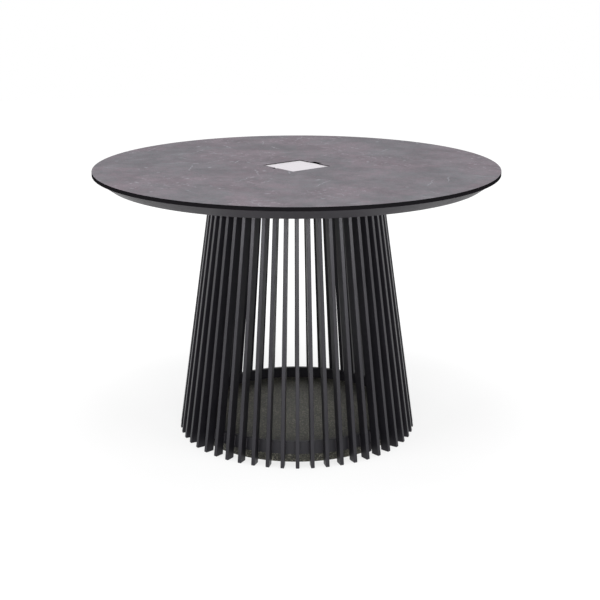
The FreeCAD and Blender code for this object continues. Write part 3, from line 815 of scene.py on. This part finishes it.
def make_guide():
    """The plate and the tube that guide the parasol pole."""
    size = sizes()
    low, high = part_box("sleeve_plate")
    tube_low, tube_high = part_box("sleeve_tube")
    bore = min(radii_of("sleeve_tube"))
    bm = bmesh.new()
    square_outline(bm, high.x, high.y, high.z, filled=False)
    round_corners(bm, bm.verts[:], size.plate_corner, segments=6)
    ring_outline(bm, tube_high.x, high.z, size.guide_steps)
    for place in axes_of("sleeve_bolts"):
        ring_outline(bm, size.large_shank + size.hole_gap, high.z, size.small_steps, place.x, place.y)
    fill_outlines(bm, high.z, low.z)
    round_rims(bm, (low.z, high.z), size.bar_edge, 2)
    new_piece("guide_plate", bm, TABLE, "coated_frame", "sleeve_plate")
    bm = bmesh.new()
    spin_profile(bm, [(tube_high.x, tube_low.z), (tube_high.x, tube_high.z), (bore, tube_high.z),
                      (bore, tube_low.z)], size.guide_steps)
    round_rims(bm, (tube_low.z, tube_high.z), size.bar_edge, 2)
    new_piece("guide_tube", bm, TABLE, "coated_frame", "sleeve_tube")


def make_seat():
    """The frame that carries the cover, with its pads."""
    size = sizes()
    make_rounded("cover_frame", "cover_seat", size.sheet_edge, 20 * MM)
    low, high = solid_boxes("seat_pads")[0]
    bm = bmesh.new()
    radius = (high.y - low.y) / 2
    spin_profile(bm, [(0, low.z), (radius, low.z), (radius, high.z), (0, high.z)], size.small_steps)
    round_rims(bm, [high.z], (high.z - low.z) / 3, 2)
    repeat_at(bm, axes_of("seat_pads"))
    new_piece("cover_pads", bm, TABLE, "rubber", "seat_pads")


def make_hooks():
    make_rounded("stone_hooks", "stone_clips", sizes().bar_edge / 2, 8 * MM)


def hexagon_screw(bm, low, high, across, head, shank):
    """Hexagon head with chamfered corners and a dished face, and its round shank."""
    size = sizes()
    radius = across / math.sqrt(3)
    ring = bmesh.ops.create_circle(bm, cap_ends=True, segments=6, radius=radius,
                                   matrix=Matrix.Translation((0, 0, low + head)))
    made = bmesh.ops.extrude_face_region(bm, geom=ring["verts"][0].link_faces[:], use_keep_orig=True)
    shift(bm, made, (0, 0, -head))
    round_corners(bm, vertices_in(made["geom"]), size.head_edge, segments=1)
    bmesh.ops.recalc_face_normals(bm, faces=bm.faces)
    face = [face for face in bm.faces if all(abs(vert.co.z - low) < MERGE for vert in face.verts)]
    rim, dish, tip, taper = across / 12, across / 40, shank / 4, 0.8
    bmesh.ops.inset_region(bm, faces=face, thickness=rim, depth=0.0, use_even_offset=True)
    bmesh.ops.inset_region(bm, faces=face, thickness=dish, depth=-dish, use_even_offset=True)
    start = low + head / 2
    edges = ring_outline(bm, shank, start, size.small_steps)
    made = bmesh.ops.extrude_edge_only(bm, edges=edges)
    shift(bm, made, (0, 0, high - start - tip))
    made = bmesh.ops.extrude_edge_only(bm, edges=edges_in(made["geom"]))
    shift(bm, made, (0, 0, tip))
    bmesh.ops.scale(bm, verts=vertices_in(made["geom"]), vec=(taper, taper, 1.0))
    bmesh.ops.edgeloop_fill(bm, edges=edges_in(made["geom"]))
    bmesh.ops.edgeloop_fill(bm, edges=edges)


def make_screws(name, node, head, shank):
    low, high = solid_boxes(node)[0]
    bm = bmesh.new()
    across = min(high.x - low.x, high.y - low.y)
    hexagon_screw(bm, low.z, high.z, across, head, shank)
    repeat_at(bm, axes_of(node))
    new_piece(name, bm, TABLE, "zinc_steel", node)


def make_washers(name, node, hole):
    low, high = solid_boxes(node)[0]
    bm = bmesh.new()
    radius = min(high.x - low.x, high.y - low.y) / 2
    spin_profile(bm, [(radius, low.z), (radius, high.z), (hole, high.z), (hole, low.z)],
                 sizes().washer_steps)
    round_rims(bm, (low.z, high.z), (high.z - low.z) / 5, 2)
    repeat_at(bm, axes_of(node))
    new_piece(name, bm, TABLE, "zinc_steel", node)


def make_fixings():
    """Screws, bolts and washers under the board."""
    size = sizes()
    make_screws("frame_screws", "board_screws", size.small_head, size.small_shank)
    make_screws("rim_screws", "apron_screws", size.small_head, size.small_shank)
    make_screws("crown_bolts", "cage_bolts", size.large_head, size.large_shank)
    make_screws("guide_bolts", "sleeve_bolts", size.large_head, size.large_shank)
    make_washers("crown_washers", "cage_washers", size.large_shank + size.hole_gap)
    make_washers("guide_washers", "sleeve_washers", size.large_shank + size.hole_gap)
    low, high = solid_boxes("seat_screws")[0]
    head, shank = min(high.x - low.x, high.y - low.y) / 2, size.seat_shank
    face = 0.7 * head
    bm = bmesh.new()
    spin_profile(bm, [(0, low.z), (face, low.z), (head, low.z + size.seat_head / 2),
                      (head, low.z + size.seat_head), (shank, low.z + size.seat_head), (shank, high.z),
                      (0, high.z)], size.small_steps)
    repeat_at(bm, axes_of("seat_screws"))
    new_piece("seat_fixings", bm, TABLE, "zinc_steel", "seat_screws")


def bead(bm, start, end, radius):
    """Rippled weld seam along a straight line."""
    start, end = Vector(start), Vector(end)
    way = end - start
    turn = way.to_track_quat("Z", "X").to_matrix().to_4x4()
    steps = max(4, round(way.length / radius))
    ring = bmesh.ops.create_circle(bm, cap_ends=True, segments=BEAD_SIDES, radius=radius * BEAD_END,
                                   matrix=Matrix.Translation(start) @ turn)
    edges = list({edge for vert in ring["verts"] for edge in vert.link_edges})
    verts = ring["verts"]
    seam = list(verts)
    for step in range(1, steps + 1):
        made = bmesh.ops.extrude_edge_only(bm, edges=edges)
        verts, edges = vertices_in(made["geom"]), edges_in(made["geom"])
        bmesh.ops.translate(bm, verts=verts, vec=way / steps)
        wanted = BEAD_END if step == steps else BEAD_RIPPLE[step % 2]
        centre = start + way * (step / steps)
        grow = wanted * radius / (verts[0].co - centre).length
        bmesh.ops.scale(bm, verts=verts, vec=(grow, grow, grow), space=Matrix.Translation(-centre))
        seam += verts
    bmesh.ops.edgeloop_fill(bm, edges=edges)
    return seam


def make_welds():
    """Seams between the slats, the band and the crown ring, round the guide and at the frame's joints."""
    size = sizes()
    bm = bmesh.new()
    inset = 1.5 * size.weld
    (foot, foot_z), (head, head_z) = section_of("base_ring")[:2]
    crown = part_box("cage_top_ring")[0].z
    tops = radii_of("slats_01", crown - MM)
    seams = []
    for y in (-size.slat_width / 2, size.slat_width / 2):
        seams += bead(bm, (foot, y, foot_z + inset), (head, y, head_z - inset), size.weld)
        seams += bead(bm, (min(tops) + inset, y, crown), (max(tops) - inset, y, crown), size.weld)
    repeat_round(bm, seams, angles_of("slat_glides"))
    low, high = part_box("arm_1")
    seams = bead(bm, (low.x, low.y + inset, low.z), (low.x, high.y - inset, low.z), size.weld)
    for y in (low.y, high.y):
        seams += bead(bm, (low.x, y, low.z + inset), (low.x, y, high.z - inset), size.weld)
    repeat_round(bm, seams, [math.radians(90 * k) for k in range(4)])
    reach = max(radii_of("stone_clips"))
    seams = bead(bm, (reach, -size.slat_width / 3, foot_z), (reach, size.slat_width / 3, foot_z), size.weld)
    repeat_round(bm, seams, angles_of("stone_clips"))
    tube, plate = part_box("sleeve_tube")[1].x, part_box("sleeve_plate")[0].z
    leg, throat = 2 * size.weld, 0.7 * size.weld
    spin_profile(bm, [(tube, plate), (tube + leg, plate), (tube + throat, plate - throat),
                      (tube, plate - leg)], size.guide_steps)
    new_piece("weld_seams", bm, TABLE, "coated_frame")


class FinishesOperator(bpy.types.Operator):
    """Make the materials and put them on the nodes of the model"""

    bl_idname = "umbrella_table.finishes"
    bl_label = "Finishes"

    def execute(self, context):
        make_groups()
        for build, even in FINISHES.items():
            make_finish(build, even)
        for node, thing in frame["nodes"].items():
            dress(thing, slot_of(node))
        return {"FINISHED"}


class BoardOperator(bpy.types.Operator):
    """Model the laminate board with its hole, notches and insert holes"""

    bl_idname = "umbrella_table.board"
    bl_label = "Board"

    def execute(self, context):
        make_board()
        return {"FINISHED"}


class CoverOperator(bpy.types.Operator):
    """Model the square cover plate"""

    bl_idname = "umbrella_table.cover"
    bl_label = "Cover plate"

    def execute(self, context):
        make_cover()
        return {"FINISHED"}


class ApronOperator(bpy.types.Operator):
    """Model the conical apron"""

    bl_idname = "umbrella_table.apron"
    bl_label = "Apron"

    def execute(self, context):
        make_apron()
        return {"FINISHED"}


class BandOperator(bpy.types.Operator):
    """Model the band at the foot of the slats"""

    bl_idname = "umbrella_table.band"
    bl_label = "Base band"

    def execute(self, context):
        make_band()
        return {"FINISHED"}


class SlabOperator(bpy.types.Operator):
    """Model the ballast stone"""

    bl_idname = "umbrella_table.slab"
    bl_label = "Ballast stone"

    def execute(self, context):
        make_slab()
        return {"FINISHED"}


class CrownOperator(bpy.types.Operator):
    """Model the ring on top of the slats"""

    bl_idname = "umbrella_table.crown"
    bl_label = "Crown ring"

    def execute(self, context):
        make_crown()
        return {"FINISHED"}


class FrameOperator(bpy.types.Operator):
    """Model the tubes under the board and their plugs"""

    bl_idname = "umbrella_table.frame"
    bl_label = "Tube frame"

    def execute(self, context):
        make_frame()
        return {"FINISHED"}


class GuideOperator(bpy.types.Operator):
    """Model the guide for the parasol pole"""

    bl_idname = "umbrella_table.guide"
    bl_label = "Pole guide"

    def execute(self, context):
        make_guide()
        return {"FINISHED"}


class SeatOperator(bpy.types.Operator):
    """Model the cover's frame and pads"""

    bl_idname = "umbrella_table.seat"
    bl_label = "Cover seat"

    def execute(self, context):
        make_seat()
        return {"FINISHED"}


class HooksOperator(bpy.types.Operator):
    """Model the clips under the ballast stone"""

    bl_idname = "umbrella_table.hooks"
    bl_label = "Stone clips"

    def execute(self, context):
        make_hooks()
        return {"FINISHED"}


class FixingsOperator(bpy.types.Operator):
    """Model the screws, bolts and washers"""

    bl_idname = "umbrella_table.fixings"
    bl_label = "Fixings"

    def execute(self, context):
        make_fixings()
        return {"FINISHED"}


class WeldsOperator(bpy.types.Operator):
    """Model the weld seams"""

    bl_idname = "umbrella_table.welds"
    bl_label = "Weld seams"

    def execute(self, context):
        make_welds()
        return {"FINISHED"}


def camera_place():
    look = studio()
    place = Matrix.Rotation(look.azimuth, 4, "Z") @ Matrix.Translation((0, -look.distance, look.height))
    turn = Matrix.Rotation(-look.yaw, 4, "Z") @ Matrix.Rotation(math.radians(90) - look.pitch, 4, "X")
    return place @ turn @ Matrix.Rotation(look.roll, 4, "Z")


def make_camera():
    data = bpy.data.cameras.new("Camera")
    data.sensor_width = SENSOR_WIDTH
    data.lens = studio().lens
    camera = new_object("Camera", data)
    camera.matrix_world = camera_place()
    bpy.context.scene.camera = camera


def make_lamp(name, power, size, azimuth, elevation, distance, aim, mirrored=True):
    """Flat lamp seen from the aim point at that azimuth and elevation, facing it."""
    data = bpy.data.lights.new(name, "AREA")
    data.energy = power
    data.shape = "RECTANGLE"
    data.size, data.size_y = size
    lamp = new_object(name, data)
    turn = Matrix.Rotation(azimuth, 4, "Z") @ Matrix.Rotation(math.radians(90) - elevation, 4, "X")
    lamp.matrix_world = Matrix.Translation(aim) @ turn @ Matrix.Translation((0, 0, distance))
    lamp.visible_camera = False
    lamp.visible_glossy = mirrored


def seen_directly(tree):
    """1 for rays from the camera, from reflections and through glass."""
    path = add(tree, "ShaderNodeLightPath").outputs
    return calc(tree, "MAXIMUM", path["Is Camera Ray"],
                calc(tree, "MAXIMUM", path["Is Glossy Ray"], path["Is Transmission Ray"]))


def make_surroundings():
    world = bpy.data.worlds.new("Surroundings")
    bpy.context.scene.world = world
    world.use_nodes = True
    tree = world.node_tree
    light = tree.nodes["Background"]
    light.inputs["Color"].default_value = (1.0, 1.0, 1.0, 1.0)
    tree.links.new(between(tree, seen_directly(tree), studio().ambient, 1.0), light.inputs["Strength"])


def make_floor():
    """Round floor that looks white with a faint shadow of the table, and lights it as a grey one does."""
    look = studio()
    made = bpy.data.materials.new("studio_floor")
    made.use_nodes = True
    tree = made.node_tree
    tree.nodes.clear()
    plain = add(tree, "ShaderNodeBsdfDiffuse", {"Color": (FLOOR_GREY,) * 3 + (1.0,)}).outputs[0]
    faint = SHADOW_DEPTH * (1.0 - look.floor_glow)
    shade = add(tree, "ShaderNodeBsdfDiffuse", {"Color": (faint,) * 3 + (1.0,)}).outputs[0]
    point = add(tree, "ShaderNodeTexCoord").outputs["Object"]
    away = add(tree, "ShaderNodeVectorMath", {0: point}, operation="LENGTH").outputs["Value"]
    strength = spread(tree, away, (SHADOW_START, SHADOW_END), (look.floor_glow, 1.0))
    glow = add(tree, "ShaderNodeEmission", {"Strength": strength}).outputs[0]
    bright = add(tree, "ShaderNodeAddShader", {0: shade, 1: glow}).outputs[0]
    mixed = add(tree, "ShaderNodeMixShader", {0: seen_directly(tree), 1: plain, 2: bright}).outputs[0]
    add(tree, "ShaderNodeOutputMaterial", {"Surface": mixed})
    bm = bmesh.new()
    bmesh.ops.create_circle(bm, cap_ends=True, segments=FLOOR_SIDES, radius=look.floor_size / 2)
    mesh = bpy.data.meshes.new("Floor")
    bm.to_mesh(mesh)
    bm.free()
    mesh.materials.append(made)
    new_object("Floor", mesh)


class StudioOperator(bpy.types.Operator):
    """Set up the camera, the lamps, the floor and the white surroundings"""

    bl_idname = "umbrella_table.studio"
    bl_label = "Studio"

    def execute(self, context):
        look = studio()
        bpy.context.scene.view_settings.view_transform = "Standard"
        make_camera()
        make_surroundings()
        make_floor()
        for name, turn, share in STRIPS:
            make_lamp(name, look.strip_power * share, STRIP_SIZE, look.azimuth + math.radians(turn),
                      STRIP_ELEVATION, STRIP_DISTANCE, STRIP_AIM)
        make_lamp("Top lamp", look.top_power, TOP_SIZE, look.azimuth + math.pi, TOP_ELEVATION, TOP_DISTANCE,
                  (0.0, 0.0, BOARD_TOP), mirrored=False)
        return {"FINISHED"}


class UMBRELLA_TABLE_PT_panel(bpy.types.Panel):
    """Steps and settings of the table"""

    bl_label = "Umbrella Table"
    bl_space_type = "VIEW_3D"
    bl_region_type = "UI"
    bl_category = "Umbrella Table"

    def draw(self, context):
        for operator in OPERATORS:
            self.layout.operator(operator.bl_idname)
        for settings in (finish(), sizes(), studio()):
            box = self.layout.box()
            for name in settings.__annotations__:
                box.prop(settings, name)


OPERATORS = (FinishesOperator, BoardOperator, CoverOperator, ApronOperator, BandOperator, SlabOperator,
             CrownOperator, FrameOperator, GuideOperator, SeatOperator, HooksOperator, FixingsOperator,
             WeldsOperator, StudioOperator)
CLASSES = (FinishSettings, PieceSettings, StudioSettings) + OPERATORS + (UMBRELLA_TABLE_PT_panel,)


def register():
    for kind in CLASSES:
        bpy.utils.register_class(kind)
    bpy.types.Scene.umbrella_table_finish = PointerProperty(type=FinishSettings)
    bpy.types.Scene.umbrella_table_pieces = PointerProperty(type=PieceSettings)
    bpy.types.Scene.umbrella_table_studio = PointerProperty(type=StudioSettings)


def unregister():
    del bpy.types.Scene.umbrella_table_studio
    del bpy.types.Scene.umbrella_table_pieces
    del bpy.types.Scene.umbrella_table_finish
    for kind in reversed(CLASSES):
        bpy.utils.unregister_class(kind)


def main():
    register()
    for operator in OPERATORS:
        family, name = operator.bl_idname.split(".")
        getattr(getattr(bpy.ops, family), name)()


if __name__ == "__main__":
    main()
